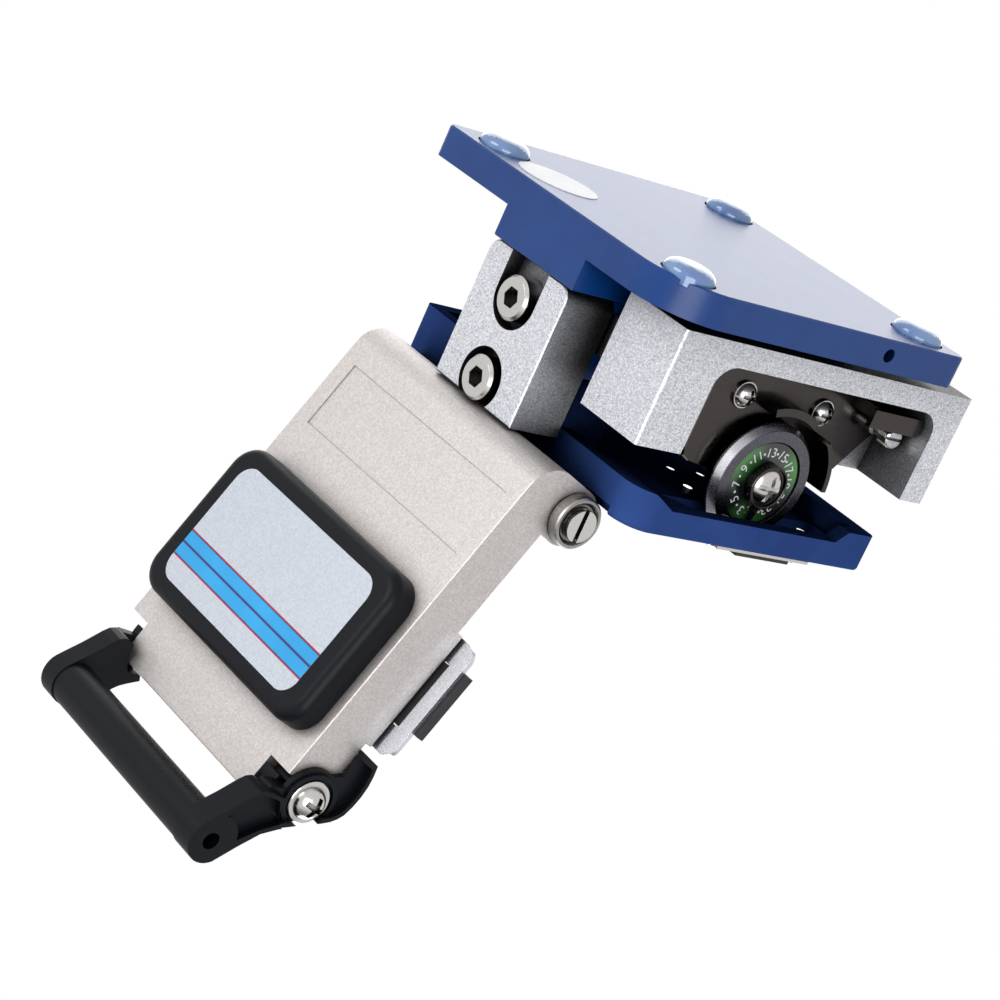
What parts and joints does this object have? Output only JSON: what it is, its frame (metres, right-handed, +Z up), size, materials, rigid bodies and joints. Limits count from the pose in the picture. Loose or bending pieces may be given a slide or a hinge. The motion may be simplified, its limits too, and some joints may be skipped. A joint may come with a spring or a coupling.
{
  "type": "fibre cleaver",
  "caption": "Bench-top optical fibre cleaver: square blue base on rubber feet, blade wheel on a front-to-back slide, and a hinged clamping lever with a folding handle.",
  "frame": {"origin": "under the middle of the whole object's bounding box, with the lever open, on the floor the feet stand on", "axes": "+Z up, +Y towards the hinge at the back, +X towards the blade side"},
  "size_m": [0.065, 0.1112, 0.1088],
  "materials": {
    "blue_metal": "satin",
    "clear_blue_rubber": "satin",
    "white_label": "matte",
    "blasted_aluminium": "matte",
    "bright_steel": "polished",
    "ground_steel": "satin",
    "nickel": "polished",
    "dark_nickel": "polished",
    "black_rubber": "matte",
    "blade_steel": "polished",
    "dial_face": "satin",
    "nickel_casting": "satin",
    "black_plastic": "matte",
    "printed_label": "satin"
  },
  "bodies": {
    "base": {"base_casting": "blue_metal", "rubber_feet": "clear_blue_rubber", "underside_disc": "white_label", "rear_block": "blasted_aluminium", "rear_block_screws": "bright_steel", "slide_rail": "ground_steel", "rail_screws": "bright_steel", "slider_stop_pins": "bright_steel", "platform": "blue_metal", "pad_strips": "bright_steel", "lower_pads": "black_rubber", "pad_screws": "bright_steel", "corner_screw": "bright_steel", "fibre_guide": "ground_steel", "guide_screws": "bright_steel", "platform_magnet": "nickel", "hinge_pin": "bright_steel", "hinge_collar": "dark_nickel", "hinge_clip": "dark_nickel"},
    "slider": {"slider_body": "blasted_aluminium", "slider_carriage": "ground_steel", "carriage_screws": "bright_steel", "blade_bracket": "dark_nickel", "bracket_washers": "bright_steel", "bracket_screws": "bright_steel", "adjuster_block": "dark_nickel", "adjuster_screw": "nickel", "wheel_axle": "ground_steel", "dial_hub": "dark_nickel", "hub_screw": "bright_steel", "dial_pointer": "nickel"},
    "blade": {"blade_wheel": "blade_steel", "number_dial": "dial_face"},
    "lever": {"lever_casting": "nickel_casting", "label_pad": "black_plastic", "label_plate": "printed_label", "lever_magnet": "nickel", "handle_screws": "bright_steel", "handle_washers": "bright_steel"},
    "upper_clamp": {"clamp_plate": "bright_steel", "upper_pads": "black_rubber", "anvil": "black_rubber", "clamp_screws": "bright_steel"},
    "handle": {"handle_right_arm": "black_plastic", "handle_left_arm": "black_plastic", "handle_bar": "black_plastic", "handle_rod": "ground_steel"}
  },
  "joints": [
    {"name": "lever_hinge", "type": "hinge", "parent": "base", "child": "lever", "pos_m": [-0.00001, 0.00869, 0.0444], "axis": [1, 0, 0], "range_deg": [0, 111.5]},
    {"name": "slider_travel", "type": "slide", "parent": "base", "child": "slider", "axis": [0, 1, 0], "range_m": [-0.008, 0.01]},
    {"name": "blade_index", "type": "hinge", "parent": "slider", "child": "blade", "pos_m": [0.02359, -0.02611, 0.0323], "axis": [1, 0, 0], "continuous": true},
    {"name": "handle_pivot", "type": "hinge", "parent": "lever", "child": "handle", "pos_m": [-0.00001, 0.03552, 0.09751], "axis": [1, 0, 0], "range_deg": [-10, 60]},
    {"name": "clamp_float", "type": "slide", "parent": "lever", "child": "upper_clamp", "axis": [0, 0.9304, -0.3665], "range_m": [0, 0.0006], "stiffness_N_per_m": 300, "springref_m": -0.004}
  ]
}
